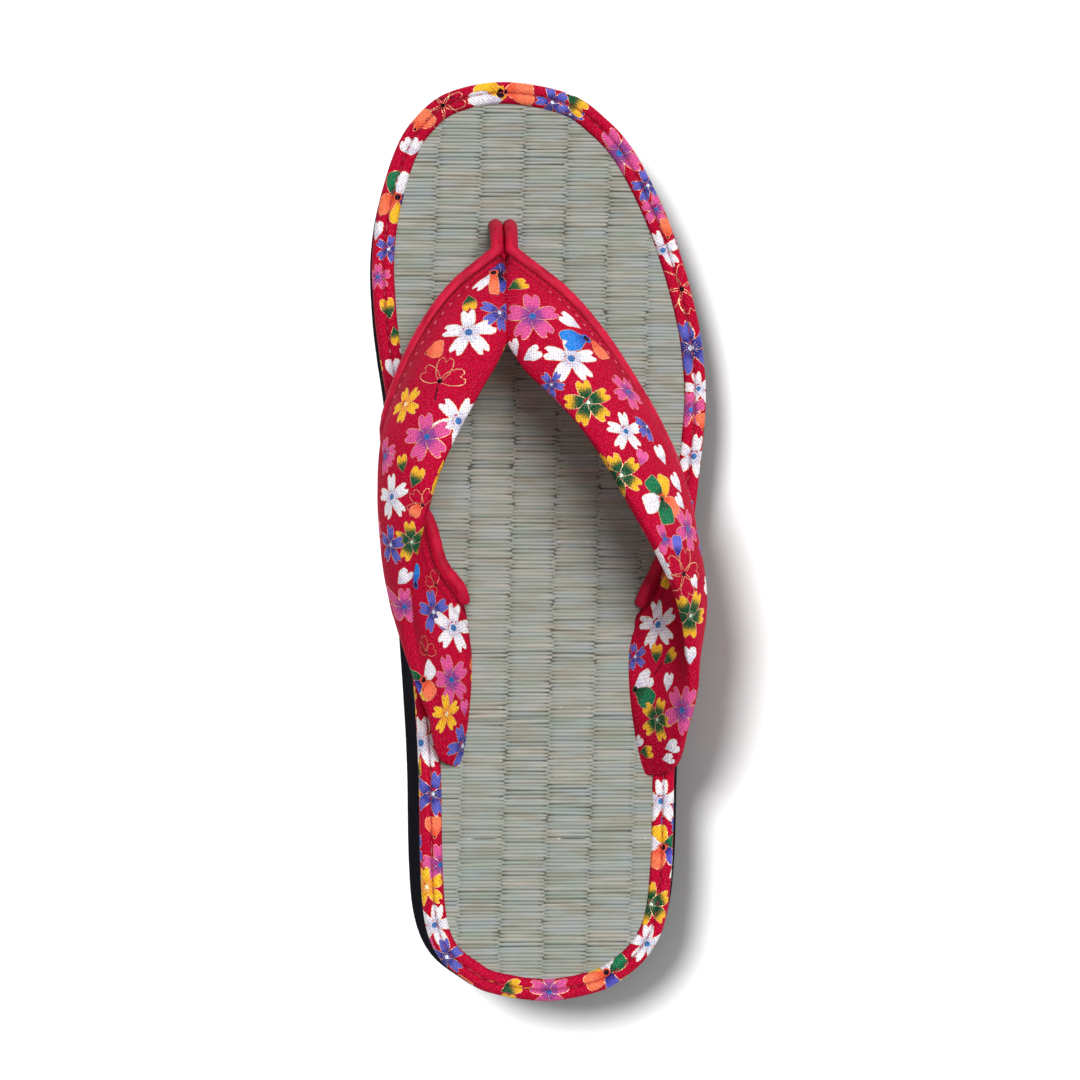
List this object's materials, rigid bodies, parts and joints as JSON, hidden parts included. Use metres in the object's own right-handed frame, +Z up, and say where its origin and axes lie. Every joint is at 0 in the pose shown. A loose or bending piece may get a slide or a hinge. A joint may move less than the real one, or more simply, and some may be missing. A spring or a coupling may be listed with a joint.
{
  "type": "zori sandal",
  "caption": "Right-foot zori sandal: low foam wedge sole, rush mat footbed with a cloth binding, wide padded straps joined over a toe post, corded edges.",
  "frame": {"origin": "bottom centre of the bounding box, on the floor the sandal stands on", "axes": "+Y points to the toe, +X to the little toe's side, +Z up"},
  "size_m": [0.0914, 0.248, 0.0656],
  "materials": {
    "foam_rubber": "matt moulded black",
    "rush": "woven dry rush, grey green to straw",
    "printed_cotton": "red cotton with a cherry blossom print",
    "plain_cotton": "plain red cotton over cord"
  },
  "bodies": {
    "root": {"sole": "foam_rubber", "footbed_mat": "rush", "edge_binding": "printed_cotton", "upper": "printed_cotton", "piping_medial": "plain_cotton", "piping_lateral": "plain_cotton"}
  },
  "joints": []
}
